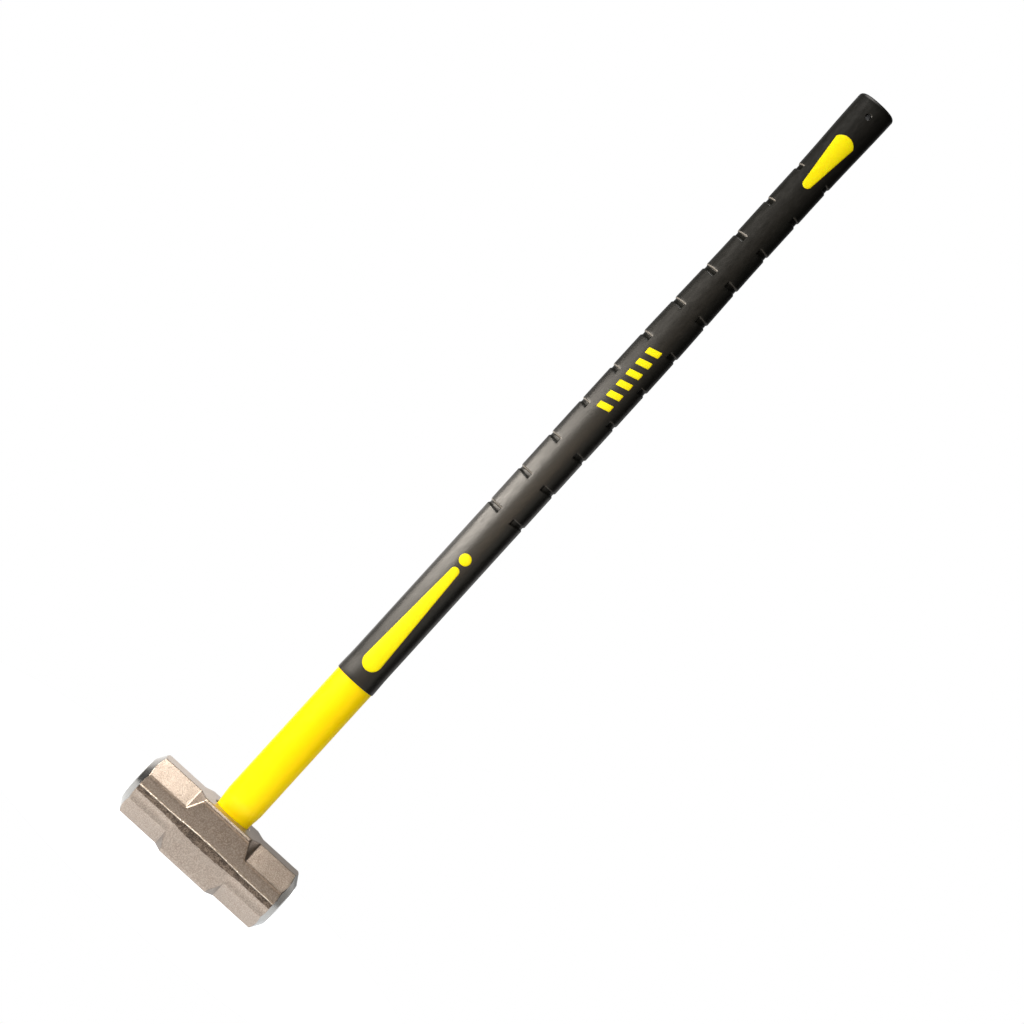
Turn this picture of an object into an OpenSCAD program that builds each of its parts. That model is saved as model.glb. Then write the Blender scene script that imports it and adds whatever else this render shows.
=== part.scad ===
// Sledgehammer with a double-faced forged head and a moulded fibreglass handle.
// It stands on its head: +Z runs up the handle to the butt, X runs along the head
// from striking face to striking face, and the handle's front faces -Y. Sizes in mm.

/* [Head] */
// Length of the head between the crowns of its two striking faces
head_length = 172; // [140:1:210]
// Height of the head along the handle
head_height = 62.5; // [50:0.5:76]
// Width of the head across its cheeks, at the forging's parting plane
head_width = 62; // [51:0.5:76]
// How much each cheek leans in from the parting plane to the top or bottom edge
cheek_draft = 3; // [1:0.5:5]
// Distance from the head's axis to the diagonal flats of its octagonal ends
octagon_inradius = 30.6; // [27:0.1:33]
// Half length of the square-cornered boss, where it meets the diagonal flats
boss_reach = 34.7; // [28:0.1:44]
// Angle that each boss shoulder leans back from square
boss_shoulder_angle = 40; // [20:1:50]
// Width of the bevel on the boss's four long edges
boss_edge_bevel = 2.8; // [1:0.1:4]
// Height of the trimmed flash land, near the striking faces
land_height = 4.9; // [3:0.1:7]
// Height of the flash land at the middle of the head
land_mid_height = 8.7; // [6:0.1:12]
// Half length of the bulge in the flash land
land_bulge_reach = 60; // [40:1:65]
// How far the flash land stands proud of each cheek
land_proud = 0.7; // [0.3:0.1:1.2]
// Axial length of the turned bevel, from the crown to its outermost edge
face_bevel = 10.2; // [9:0.1:14]
// Axial distance from the crown to where the bevel meets the head's flats
flat_bevel = 7.6; // [5:0.1:8.5]
// Radius of the crowned disc inside the turned bevel
face_radius = 22.5; // [16:0.5:25]
// Rise of the crown over the disc
face_crown = 2; // [1:0.1:3]

/* [Eye] */
// Length of the oval eye, along the head
eye_length = 39; // [32:0.5:47]
// Width of the oval eye, across the head
eye_width = 26; // [21.5:0.5:31.5]
// Gap between the eye wall and the handle's neck, filled with resin
eye_gap = 1.7; // [1.2:0.1:2.4]
// Depth of the handle's neck in the eye
neck_depth = 14; // [8:0.5:30]
// Depth of the resin's surface below the mouth of the eye, at both ends
resin_recess = 1.2; // [0.4:0.1:3]

/* [Handle] */
// Length overall, from the underside of the head to the butt
overall_length = 914; // [760:1:1100]
// Width of the handle, in line with the head
handle_width = 39.2; // [32.5:0.1:47.5]
// Thickness of the handle, front to back
handle_thickness = 30; // [25:0.1:36]
// Length of the tapered neck between the head and the full handle
neck_length = 18; // [12:0.5:30]
// Length of plain jacket between the head and the grip
jacket_show = 161; // [130:1:195]
// Wall of the grip at the waist, where it is thinnest
grip_wall = 2.4; // [1.8:0.1:3]
// How far the grip stands proud of the jacket at its front edge
grip_proud = 0.3; // [0.1:0.1:1]
// Bevel around the grip's front edge
grip_edge = 0.7; // [0.2:0.1:1.4]
// Wall of the jacket around the fibreglass core
jacket_wall = 3.2; // [2.2:0.1:4]
// Solid rubber at the butt, beyond the end of the jacket
butt_cap = 26; // [24:1:40]
// Jacket closed over the end of the core
jacket_end_wall = 6; // [3:0.5:10]

/* [Grip shape] */
// How much narrower the grip is at its waist than at its front
waist_slim = 3.9; // [2:0.1:5]
// How much narrower the flared butt is than the front of the grip
butt_slim = 1.1; // [0:0.1:2]
// Distance from the butt to where the grip starts to slim
slim_from_butt = 314; // [260:1:380]
// Distance from the butt to the head side of the waist
waist_from_butt = 164; // [140:1:190]
// Length of the waist
waist_length = 70; // [50:1:90]
// Radius of the rounded butt edge
butt_round = 4; // [2:0.5:6]

/* [Finger notches] */
// Number of notches down each side of the grip
notch_count = 11; // [6:1:13]
// Width of a notch along the handle
notch_width = 6; // [4:0.5:8]
// Depth of a notch in the rubber
notch_depth = 1.1; // [0.6:0.1:1.5]
// Distance from the grip's front edge to the first notch
first_notch = 198; // [170:1:240]
// Distance from the butt to the last notch
last_notch_from_butt = 89; // [70:1:110]
// Mean distance from the handle's centre line to a notch's inner end
notch_reach = 10.4; // [9:0.1:12.5]
// Amplitude of the wave that the notch ends follow
notch_wave = 3; // [0:0.1:4]
// Notches in one whole wave
wave_notches = 6.6; // [5:0.1:12]

/* [Inlays] */
// Clearance around each inlay in its window
inlay_gap = 0.15; // [0.05:0.05:0.3]
// How far the inlays stand proud of the rubber
inlay_proud = 0.2; // [0:0.05:0.5]
// Distance from the grip's front edge to the long inlay
long_inlay_start = 15; // [10:1:24]
// Length of the long inlay
long_inlay_length = 121; // [100:1:146]
// Width of the long inlay's broad end
long_inlay_width = 18.5; // [15:0.1:22]
// Width of the long inlay's narrow end
long_inlay_tip = 8.4; // [6:0.1:10.5]
// Gap along the handle between the long inlay and the dot
dot_gap = 4; // [2:0.5:8]
// Diameter of the dot
dot_d = 11.3; // [9:0.1:14]
// Distance from the butt to the butt inlay's broad end
butt_inlay_end = 41.8; // [35:0.1:50]
// Length of the butt inlay
butt_inlay_length = 59; // [48:0.5:71]
// Width of the butt inlay's broad end
butt_inlay_width = 19.4; // [16:0.1:22]
// Width of the butt inlay's narrow end
butt_inlay_tip = 8.8; // [6:0.1:10.5]
// Radius of the arc that ends the butt inlay
butt_inlay_arc = 11.6; // [11.2:0.1:16]

/* [Mark] */
// Number of slanted bars in the plain mark
bar_count = 6; // [4:1:7]
// Distance along the handle from one bar to the next
bar_pitch = 12.7; // [11:0.1:15]
// Length of a bar across the handle
bar_height = 12.4; // [10:0.1:14]
// Width of a bar along the handle
bar_width = 6.4; // [4:0.1:8]
// Distance that a bar slants along the handle
bar_slant = 3.6; // [0:0.1:5]
// Distance from the butt to the middle of the mark
mark_from_butt = 330; // [280:1:370]

/* [Hang hole] */
// Diameter of the hole through the butt
hang_hole_d = 5.2; // [4:0.1:6.4]
// Distance from the butt to the hole's axis
hang_hole_from_butt = 17; // [13:0.5:20]
// Depth of the dish around each mouth of the hole
hang_hole_dish = 1.2; // [0:0.1:2]

/* [Hidden] */
$fn = 96;
sides = 48; // flat sides around the moulded handle
oval_end_share = 0.76; // radius of an oval's end arcs over half its thickness
fullness = 0.92; // power that makes the handle's oval squarer than an ellipse
taper_lead = 3; // how deep in the eye the neck starts to widen
corner_spill = 3.4; // how far the turned bevel runs on past the flats, to the corners
head_mid = head_height / 2;
head_half = head_length / 2;
crown_r = (face_radius * face_radius + face_crown * face_crown) / (2 * face_crown);
cheek_half = head_width / 2;
edge_half = cheek_half - cheek_draft;
corner_reach = (edge_half + head_mid) / sqrt(2);
land_rise = land_mid_height / 2;
land_r = (land_bulge_reach * land_bulge_reach + land_rise * land_rise) / (2 * land_rise);

neck_w = eye_length - 2 * eye_gap;
neck_t = eye_width - 2 * eye_gap;
neck_z0 = head_height - neck_depth;
neck_z1 = head_height + neck_length;
taper_z0 = head_height - taper_lead;
grip_z0 = head_height + jacket_show;
butt_z = overall_length;
jacket_z1 = butt_z - butt_cap;
core_z0 = resin_recess;
core_z1 = jacket_z1 - jacket_end_wall;

grip_w = handle_width + 2 * grip_proud;
grip_t = handle_thickness + 2 * grip_proud;
waist_w = grip_w - waist_slim;
waist_t = grip_t * waist_w / grip_w;
butt_w = grip_w - butt_slim;
inner_w = waist_w - 2 * grip_wall;
inner_t = waist_t - 2 * grip_wall;
core_w = inner_w - 2 * jacket_wall;
core_t = inner_t - 2 * jacket_wall;

slim_z = butt_z - slim_from_butt;
waist_z0 = butt_z - waist_from_butt;
waist_z1 = waist_z0 + waist_length;
round_z = butt_z - butt_round;

notch_z0 = grip_z0 + first_notch;
notch_pitch = (butt_z - last_notch_from_butt - notch_z0) / (notch_count - 1);
long_z0 = grip_z0 + long_inlay_start;
long_z1 = long_z0 + long_inlay_length;
dot_z = long_z1 + dot_gap + dot_d / 2;
butt_inlay_z1 = butt_z - butt_inlay_end;
butt_inlay_z0 = butt_inlay_z1 - butt_inlay_length;
mark_z = butt_z - mark_from_butt;
hole_z = butt_z - hang_hole_from_butt;
far = 60; // longer than any cut has to reach

// ---------- outlines ----------

// an oval made of four arcs; the end arcs have half the oval's thickness less a little
module oval(w, t) {
  a = w / 2;
  b = t / 2;
  r = b * oval_end_share;
  c = a - r;
  big = (c * c + b * b - r * r) / (2 * (b - r));
  x_tangent = c * big / (big - r);
  translate([-c, 0]) circle(r);
  translate([c, 0]) circle(r);
  intersection() {
    translate([0, b - big]) circle(big);
    translate([0, big - b]) circle(big);
    square([2 * x_tangent, 2 * t], center = true);
  }
}

// a teardrop along Y with two round ends, from y0 to y1
module teardrop(y0, y1, w0, w1, grow) {
  r0 = w0 / 2;
  r1 = w1 / 2;
  c0 = y0 + r0;
  c1 = y1 - r1;
  lean = asin((r0 - r1) / (c1 - c0));
  g0 = r0 + grow;
  g1 = r1 + grow;
  translate([0, c0]) circle(g0);
  translate([0, c1]) circle(g1);
  polygon([
    [-g0 * cos(lean), c0 + g0 * sin(lean)], [g0 * cos(lean), c0 + g0 * sin(lean)],
    [g1 * cos(lean), c1 + g1 * sin(lean)], [-g1 * cos(lean), c1 + g1 * sin(lean)]]);
}

// the butt inlay: a round narrow end, straight flanks and one shallow arc
module butt_teardrop(grow) {
  r = butt_inlay_tip / 2;
  half = butt_inlay_width / 2;
  c0 = butt_inlay_z0 + r;
  arc_y = butt_inlay_z1 - butt_inlay_arc;
  y_corner = arc_y + sqrt(butt_inlay_arc * butt_inlay_arc - half * half);
  translate([0, c0]) circle(r + grow);
  polygon([[-r - grow, c0], [r + grow, c0], [half + grow, y_corner], [-half - grow, y_corner]]);
  intersection() {
    translate([0, arc_y]) circle(butt_inlay_arc + grow);
    translate([-half - grow, y_corner - 0.5]) square([2 * (half + grow), butt_inlay_arc]);
  }
}

module bar_outlines(grow) {
  for (i = [0 : bar_count - 1]) {
    z = mark_z + (i - (bar_count - 1) / 2) * bar_pitch;
    h = bar_height / 2 + grow;
    w = bar_width / 2 + grow;
    polygon([
      [-h, z - w - bar_slant / 2], [-h, z + w - bar_slant / 2],
      [h, z + w + bar_slant / 2], [h, z - w + bar_slant / 2]]);
  }
}

// ---------- the moulded handle's surface ----------

function ease(a, b, t) = let (s = min(max(t, 0), 1)) a + (b - a) * s * s * (3 - 2 * s);

// grip width at height z, before the butt edge is rounded
function grip_width_at(z) =
  z < waist_z0 ? ease(grip_w, waist_w, (z - slim_z) / (waist_z0 - slim_z))
  : ease(waist_w, butt_w, (z - waist_z1) / (round_z - waist_z1));
function grip_size(z, grow) =
  let (w = grip_width_at(z)) [w / 2 + grow, w * grip_t / grip_w / 2 + grow];

function neck_size(z) =
  let (t = (z - taper_z0) / (neck_z1 - taper_z0))
  [ease(neck_w, handle_width, t) / 2, ease(neck_t, handle_thickness, t) / 2];

// one oval ring of points, a little squarer than an ellipse
function ring(half_w, half_t, z) = [
  for (k = [0 : sides - 1]) let (a = (k + 0.5) * 360 / sides, c = cos(a), s = sin(a))
    [half_w * sign(c) * pow(abs(c), fullness), half_t * sign(s) * pow(abs(s), fullness), z]];

// a closed skin through a list of [half width, half thickness, z]
module skin(rows) {
  last = len(rows) - 1;
  polyhedron(
    points = [for (row = rows) each ring(row[0], row[1], row[2])],
    faces = concat(
      [[for (k = [0 : sides - 1]) k]],
      [for (j = [0 : last - 1], k = [0 : sides - 1])
        let (n = (k + 1) % sides, p = j * sides, q = (j + 1) * sides)
        [p + k, q + k, q + n, p + n]],
      [[for (k = [sides - 1 : -1 : 0]) last * sides + k]]));
}

function grip_row(z, grow) = let (g = grip_size(z, grow)) [g[0], g[1], z];
function butt_row(a) = let (g = grip_size(round_z, 0), in = butt_round * (1 - cos(a)))
  [g[0] - in, g[1] - in, round_z + butt_round * sin(a)];

module grip_body() {
  slim_steps = 7;
  flare_steps = 5;
  skin(concat(
    [for (g = [grip_size(grip_z0, 0)]) [g[0] - grip_edge, g[1] - grip_edge, grip_z0]],
    [grip_row(grip_z0 + grip_edge, 0)],
    [for (k = [0 : slim_steps]) grip_row(slim_z + (waist_z0 - slim_z) * k / slim_steps, 0)],
    [for (k = [0 : flare_steps])
      grip_row(waist_z1 + (round_z - waist_z1) * k / flare_steps, 0)],
    [for (a = [30 : 30 : 90]) butt_row(a)]));
}

// a slice of the grip's outer surface, grown outward, for the inlays to end on
module inlay_top(z0, z1) {
  steps = max(1, ceil((z1 - z0) / 25));
  skin([for (k = [0 : steps]) grip_row(z0 + (z1 - z0) * k / steps, inlay_proud)]);
}

module jacket_inside_grip() {
  translate([0, 0, grip_z0 - 1]) linear_extrude(jacket_z1 - grip_z0 + 1)
    oval(inner_w, inner_t);
}

// carries a flat outline from X-Z to the front half (side = -1) or the back half (side = 1)
module to_side(side) {
  rotate([90, 0, 0]) translate([0, 0, side < 0 ? 0 : -far]) linear_extrude(far) children();
}

module inlay(side, z0, z1) {
  difference() {
    intersection() {
      inlay_top(z0 - 1, z1 + 1);
      to_side(side) children();
    }
    jacket_inside_grip();
  }
}

// ---------- head ----------

module cheek_bar() {
  rotate([90, 0, 90]) linear_extrude(head_length, center = true) polygon([
    [-edge_half, 0], [-cheek_half, head_mid], [-edge_half, head_height],
    [edge_half, head_height], [cheek_half, head_mid], [edge_half, 0]]);
}

// what is forged away from one corner, from a boss shoulder to the striking face
module corner_cut() {
  deep = 20;
  back = deep * tan(boss_shoulder_angle);
  linear_extrude(far, center = true) polygon([
    [boss_reach, 0], [head_half + 5, 0], [head_half + 5, deep], [boss_reach - back, deep]]);
}

module flash_land() {
  translate([0, 0, head_mid]) rotate([90, 0, 0])
    linear_extrude(head_width + 2 * land_proud, center = true) {
      square([head_length, land_height], center = true);
      intersection() {
        translate([0, land_rise - land_r]) circle(land_r, $fn = 200);
        translate([0, land_r - land_rise]) circle(land_r, $fn = 200);
        square([2 * land_bulge_reach + 10, 2 * land_mid_height], center = true);
      }
    }
}

// the turned envelope: a bevel and a crowned disc at both ends
module turned_ends() {
  disc_z = head_half - face_crown;
  bevel_z = head_half - face_bevel;
  flat_z = head_half - flat_bevel;
  translate([0, 0, head_mid]) rotate([0, 90, 0]) intersection() {
    rotate_extrude() polygon([
      [0, -head_half], [face_radius, -disc_z], [head_mid, -flat_z], [head_mid + corner_spill, -bevel_z],
      [far, -bevel_z], [far, bevel_z], [head_mid + corner_spill, bevel_z], [head_mid, flat_z],
      [face_radius, disc_z], [0, head_half]]);
    translate([0, 0, head_half - crown_r]) sphere(crown_r);
    translate([0, 0, crown_r - head_half]) sphere(crown_r);
  }
}

module head() {
  color("#b5a79c") difference() {
    intersection() {
      union() {
        difference() {
          intersection() {
            cheek_bar();
            translate([0, 0, head_mid]) rotate([45, 0, 0]) cube([
              head_length + 2, 2 * corner_reach - boss_edge_bevel * sqrt(2),
              2 * corner_reach - boss_edge_bevel * sqrt(2)], center = true);
          }
          for (flip = [0, 1], turn = [45 : 90 : 315])
            translate([0, 0, head_mid]) mirror([flip, 0, 0]) rotate([turn, 0, 0])
              translate([0, octagon_inradius, 0]) corner_cut();
        }
        flash_land();
      }
      turned_ends();
    }
    translate([0, 0, -1]) linear_extrude(head_height + 2) oval(eye_length, eye_width);
  }
}

// ---------- handle ----------

module neck_skin() {
  steps = 8;
  skin(concat(
    [for (k = [0 : steps]) let (z = neck_z0 + (neck_z1 - neck_z0) * k / steps, g = neck_size(z))
      [g[0], g[1], z]],
    [[handle_width / 2, handle_thickness / 2, grip_z0]]));
}

module core_shape(z0, z1) {
  translate([0, 0, z0]) linear_extrude(z1 - z0) oval(core_w, core_t);
}

module eye_resin() {
  color("#2b2724") difference() {
    translate([0, 0, resin_recess]) linear_extrude(head_height - 2 * resin_recess)
      oval(eye_length, eye_width);
    core_shape(-1, head_height + 1);
    neck_skin();
  }
}

module core_rod() {
  color("#c9b98c") core_shape(core_z0, core_z1);
}

module jacket() {
  color("#f7e600") difference() {
    union() {
      neck_skin();
      jacket_inside_grip();
    }
    core_shape(neck_z0 - 1, core_z1);
  }
}

module notch_cuts() {
  for (i = [0 : notch_count - 1]) {
    z = notch_z0 + i * notch_pitch;
    w = grip_width_at(z);
    reach = notch_reach - notch_wave * cos(360 * (i - 0.4) / wave_notches);
    translate([0, 0, z - notch_width / 2]) difference() {
      for (side = [-1, 1])
        translate([side < 0 ? -far : reach, -far / 2, 0])
          cube([far - reach, far, notch_width]);
      translate([0, 0, -1]) linear_extrude(notch_width + 2)
        oval(w - 2 * notch_depth, w * grip_t / grip_w - 2 * notch_depth);
    }
  }
}

module hang_hole() {
  half = grip_width_at(hole_z) * grip_t / grip_w / 2;
  translate([0, 0, hole_z]) rotate([90, 0, 0]) {
    cylinder(d = hang_hole_d, h = far, center = true);
    for (flip = [0, 1]) mirror([0, 0, flip]) translate([0, 0, half - hang_hole_dish])
      cylinder(d1 = hang_hole_d, d2 = hang_hole_d + 6 * hang_hole_dish, h = 3 * hang_hole_dish);
  }
}

module grip() {
  color("#2a2826") difference() {
    grip_body();
    jacket_inside_grip();
    notch_cuts();
    for (side = [-1, 1]) to_side(side) {
      teardrop(long_z0, long_z1, long_inlay_width, long_inlay_tip, inlay_gap);
      translate([0, dot_z]) circle(dot_d / 2 + inlay_gap);
      butt_teardrop(inlay_gap);
      bar_outlines(inlay_gap);
    }
    hang_hole();
  }
}

module long_inlay(side) {
  color("#f2e11a") inlay(side, long_z0, long_z1)
    teardrop(long_z0, long_z1, long_inlay_width, long_inlay_tip, 0);
}
module long_inlay_front() { long_inlay(-1); }
module long_inlay_back() { long_inlay(1); }

module dot_inlay(side) {
  color("#f2e11a") inlay(side, dot_z - dot_d / 2, dot_z + dot_d / 2)
    translate([0, dot_z]) circle(dot_d / 2);
}
module dot_inlay_front() { dot_inlay(-1); }
module dot_inlay_back() { dot_inlay(1); }

module butt_inlay(side) {
  color("#f2e11a") inlay(side, butt_inlay_z0, butt_inlay_z1) butt_teardrop(0);
}
module butt_inlay_front() { butt_inlay(-1); }
module butt_inlay_back() { butt_inlay(1); }

module mark_bars(side) {
  half = bar_count * bar_pitch / 2 + bar_slant;
  color("#f2e11a") inlay(side, mark_z - half, mark_z + half) bar_outlines(0);
}
module mark_bars_front() { mark_bars(-1); }
module mark_bars_back() { mark_bars(1); }

head();
eye_resin();
core_rod();
jacket();
grip();
long_inlay_front();
long_inlay_back();
dot_inlay_front();
dot_inlay_back();
butt_inlay_front();
butt_inlay_back();
mark_bars_front();
mark_bars_back();
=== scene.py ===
# %% [markdown]
# # A sledgehammer with a moulded fibreglass handle
# The hammer stands on its head. Z runs up the handle, X runs along the head from one striking
# face to the other, and the front of the handle faces -Y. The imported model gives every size
# and place, so this script only gives the pieces their real surfaces and finishes.

# %% Load the frame
import math
import bmesh
import bpy
from mathutils import Matrix, Vector, noise


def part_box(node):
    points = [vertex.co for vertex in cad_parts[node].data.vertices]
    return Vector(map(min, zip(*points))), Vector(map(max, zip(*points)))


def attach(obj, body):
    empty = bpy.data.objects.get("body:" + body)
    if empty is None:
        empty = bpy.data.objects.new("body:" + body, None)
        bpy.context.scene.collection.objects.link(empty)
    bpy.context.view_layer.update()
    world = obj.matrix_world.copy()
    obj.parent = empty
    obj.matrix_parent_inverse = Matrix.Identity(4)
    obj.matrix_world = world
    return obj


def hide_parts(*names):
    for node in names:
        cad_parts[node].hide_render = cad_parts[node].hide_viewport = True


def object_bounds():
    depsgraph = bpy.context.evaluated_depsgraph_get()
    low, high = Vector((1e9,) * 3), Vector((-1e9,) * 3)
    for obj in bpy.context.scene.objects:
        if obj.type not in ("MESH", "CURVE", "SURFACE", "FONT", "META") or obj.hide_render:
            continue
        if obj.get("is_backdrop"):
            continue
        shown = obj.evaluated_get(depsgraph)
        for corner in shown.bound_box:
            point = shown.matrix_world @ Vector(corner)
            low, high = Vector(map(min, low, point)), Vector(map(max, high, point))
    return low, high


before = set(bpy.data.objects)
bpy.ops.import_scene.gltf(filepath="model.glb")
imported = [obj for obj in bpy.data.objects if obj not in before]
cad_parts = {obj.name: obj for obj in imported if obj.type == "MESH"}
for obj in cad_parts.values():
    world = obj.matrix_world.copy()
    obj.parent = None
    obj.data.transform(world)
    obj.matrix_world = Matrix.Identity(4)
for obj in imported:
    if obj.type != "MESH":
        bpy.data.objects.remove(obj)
cad_box = [[float(n) for n in corner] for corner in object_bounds()]
print("nodes:", sorted(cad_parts))

# %% [markdown]
# ## Sizes
# Lengths are in millimetres while a piece is shaped, and become metres when a corner is placed.
# The big sizes come from the model's own boxes, so the pieces always fit it.

# %% Sizes from the model
MM = 0.001


def span(node):
    """Lowest and highest corner of a node, in millimetres."""
    low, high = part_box(node)
    return low / MM, high / MM


head_high = span("head")[1]
jacket_low, jacket_high = span("jacket")
grip_low, grip_high = span("grip")
core_high = span("core_rod")[1]

head_half = head_high.x
head_top = head_high.z
head_mid = head_top / 2
handle_half_w = jacket_high.x
handle_half_t = jacket_high.y
grip_start = grip_low.z
butt = grip_high.z
print("head half length", round(head_half, 1))
print("grip from", round(grip_start, 1), "to", round(butt, 1))

# %% [markdown]
# ## The camera
# A long lens two metres in front of the hammer, rolled so that the handle rises to the upper
# right. The axes below are the camera's right, up and backward directions.

# %% Camera
roll = math.radians(47.69)
right = Vector((math.sin(roll), 0, math.cos(roll)))
up = Vector((-math.cos(roll), 0, math.sin(roll)))
back = right.cross(up)
camera = bpy.data.objects.new("camera", bpy.data.cameras.new("camera"))
bpy.context.scene.collection.objects.link(camera)
camera.data.lens = 78.4
camera.data.sensor_width = 36
camera.location = Vector((2.03, -1980, 428.15)) * MM
camera.rotation_mode = "QUATERNION"
camera.rotation_quaternion = Matrix((right, up, back)).transposed().to_quaternion()
bpy.context.scene.camera = camera
print("camera looks along", tuple(round(n, 3) for n in -back))

# %% [markdown]
# ## Rolling a sheet into a tube
# The head, the jacket and the grip are all tubes whose outline changes along their length.
# Each one could be cut from a block, but its soft edges would then need hundreds of bevels.
# Here a flat grid is rolled up instead: every corner is moved to where the surface is, the
# seam is welded and both ends are closed.

# %% Rolled tubes


def rolled(stations, around, place):
    """A grid rolled into a closed tube; place(i, k) gives corner k of station i."""
    bm = bmesh.new()
    bmesh.ops.create_grid(bm, x_segments=around, y_segments=stations - 1, size=1)
    bm.verts.ensure_lookup_table()
    for i in range(stations):
        for k in range(around + 1):
            bm.verts[i * (around + 1) + k].co = Vector(place(i, k % around)) * MM
    bmesh.ops.remove_doubles(bm, verts=bm.verts, dist=1e-6)
    rims = [e for e in bm.edges if e.is_boundary]
    bmesh.ops.holes_fill(bm, edges=rims, sides=0)
    bmesh.ops.recalc_face_normals(bm, faces=bm.faces)
    return bm


def as_piece(name, bm):
    """A finished bmesh as a smooth-shaded object."""
    mesh = bpy.data.meshes.new(name)
    bm.to_mesh(mesh)
    bm.free()
    for face in mesh.polygons:
        face.use_smooth = True
    piece = bpy.data.objects.new(name, mesh)
    bpy.context.scene.collection.objects.link(piece)
    return piece


def cut_away(piece, cutters):
    """Takes the cutters' shapes out of the piece, as a moulding core or a drill does."""
    for cutter in cutters:
        tool = piece.modifiers.new("cut", "BOOLEAN")
        tool.operation = "DIFFERENCE"
        tool.solver = "MANIFOLD"
        tool.object = cutter
        depsgraph = bpy.context.evaluated_depsgraph_get()
        cut_mesh = bpy.data.meshes.new_from_object(piece.evaluated_get(depsgraph))
        piece.modifiers.clear()
        piece.data = cut_mesh
        bpy.data.objects.remove(cutter)
    return piece


def crisp(piece, angle):
    """Smooth shading, except across edges that turn more than the angle."""
    mesh = piece.data
    bm = bmesh.new()
    bm.from_mesh(mesh)
    for edge in bm.edges:
        edge.smooth = not (edge.is_manifold and edge.calc_face_angle() > math.radians(angle))
    for face in bm.faces:
        face.smooth = True
    bm.to_mesh(mesh)
    bm.free()


def store(mesh, name, values):
    """Keeps one number per corner of the mesh, for the finish to read."""
    layer = mesh.attributes.new(name, "FLOAT", "POINT")
    layer.data.foreach_set("value", values)


def steps(start, stop, pitch):
    """Even steps from start to stop, close to the pitch apart, both ends included."""
    count = max(1, round(abs(stop - start) / pitch))
    return [start + (stop - start) * n / count for n in range(count + 1)]


def joined(*runs):
    """Runs of steps end to end, without the repeated ends."""
    line = []
    for run in runs:
        line += run if not line else run[1:]
    return line


def ease(a, b, t):
    """A soft change from a to b as t goes from 0 to 1."""
    t = min(max(t, 0), 1)
    return a + (b - a) * t * t * (3 - 2 * t)


def soft_max(a, b, blend):
    """The larger of two sizes, with the corner between them rounded over the blend."""
    return max(a, b) + blend * math.log1p(math.exp(-abs(a - b) / blend))


def lumps(x, y, z, size, seed=0.0):
    """Smooth seeded unevenness from -1 to 1, with lumps of about the size in mm."""
    return noise.noise(Vector((x / size + seed, y / size - seed, z / size + 2 * seed)))


# %% [markdown]
# ## The forged head
# The head is hammered between two dies that meet at mid height. Its ends are octagonal, and
# the middle keeps its square corners around the eye. So each slice across the head is a set
# of flats: top, bottom, two drafted flats on each cheek and four diagonals. The diagonals
# move outward at the shoulders, which makes the sloping facets of the boss. The slice's
# radius in any direction is a soft minimum over the flats, and its corners come out rounded
# as in a real forging.

# %% Flats of one slice
cheek_half = 30.85
cheek_draft = 3.0
octagon_flat = 30.6
boss_flat = 39.9
boss_reach = 34.7
boss_shoulder_angle = 40
shoulder_slope = 1 / math.tan(math.radians(boss_shoulder_angle))
shoulder_blend = 0.35
corner_softness = 120

cheek_lean = math.atan2(cheek_draft, head_mid)
fixed_flats = [(0, 1, head_mid), (0, -1, head_mid)]
for side in (-1, 1):
    for rise in (-1, 1):
        fixed_flats.append((side * math.cos(cheek_lean), rise * math.sin(cheek_lean),
                            cheek_half * math.cos(cheek_lean)))


def diagonal_flat(x):
    """Distance of the diagonal flats from the head's axis."""
    shoulder = octagon_flat + (boss_reach - abs(x)) * shoulder_slope
    raised = soft_max(octagon_flat, shoulder, shoulder_blend)
    return -soft_max(-boss_flat, -raised, shoulder_blend)


def slice_radius(x, y_dir, z_dir):
    """Radius of the forging in one direction, before turning."""
    total = 0
    for ny, nz, distance in fixed_flats:
        facing = ny * y_dir + nz * z_dir
        if facing > 0:
            total += (facing / distance) ** corner_softness
    facing = (abs(y_dir) + abs(z_dir)) * math.sqrt(0.5)
    total += (facing / diagonal_flat(x)) ** corner_softness
    return total ** (-1 / corner_softness)


print("diagonal flats:", octagon_flat, "at the ends,", boss_flat, "at the boss")

# %% [markdown]
# ### The turned ends
# Both striking faces are turned on a lathe after forging. The tool cuts a bevel and a slightly
# crowned disc, so the turned radius falls from outside the corners to nothing at the crown.

# %% Turned bevel and crown
disc_radius = 22.5
crown_rise = 2.0
crown_radius = (disc_radius ** 2 + crown_rise ** 2) / (2 * crown_rise)
disc_x = head_half - crown_rise
flat_x = head_half - 7.6
corner_x = head_half - 10.2
corner_spill = 3.4
untouched = 99


def turned_radius(x):
    """Radius that the lathe leaves at x, or a large one where it doesn't reach."""
    x = abs(x)
    if x < corner_x - 1:
        return untouched
    if x < flat_x:
        return head_mid + corner_spill * (flat_x - x) / (flat_x - corner_x)
    return head_mid + (disc_radius - head_mid) * (x - flat_x) / (disc_x - flat_x)


print("lathe reaches in to", round(corner_x, 1), "and the crown's radius is", round(crown_radius))

# %% [markdown]
# ### Where the grid's corners go
# An even grid fine enough for the burr would be far too heavy. So the stations along the head
# and the corners around it sit close together only where the surface turns: at the shoulders,
# the bevels, the land and the edges of the flats.

# %% Stations and corners
shoulder_from, shoulder_to, bevel_from = 21, 37, corner_x - 2
half_line = joined(steps(0, shoulder_from, 0.95), steps(shoulder_from, shoulder_to, 0.5),
                   steps(shoulder_to, bevel_from, 0.95), steps(bevel_from, disc_x, 0.33))
other_half = [-x for x in reversed(half_line)][:-1]
crown_steps = 11
crown_rings = [disc_radius * (1 - n / crown_steps) for n in range(1, crown_steps)] + [0.8]
head_line = [("crown", -1, r) for r in reversed(crown_rings)]
head_line += [("bar", x, 0) for x in other_half + half_line]
head_line += [("crown", 1, r) for r in crown_rings]

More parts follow.
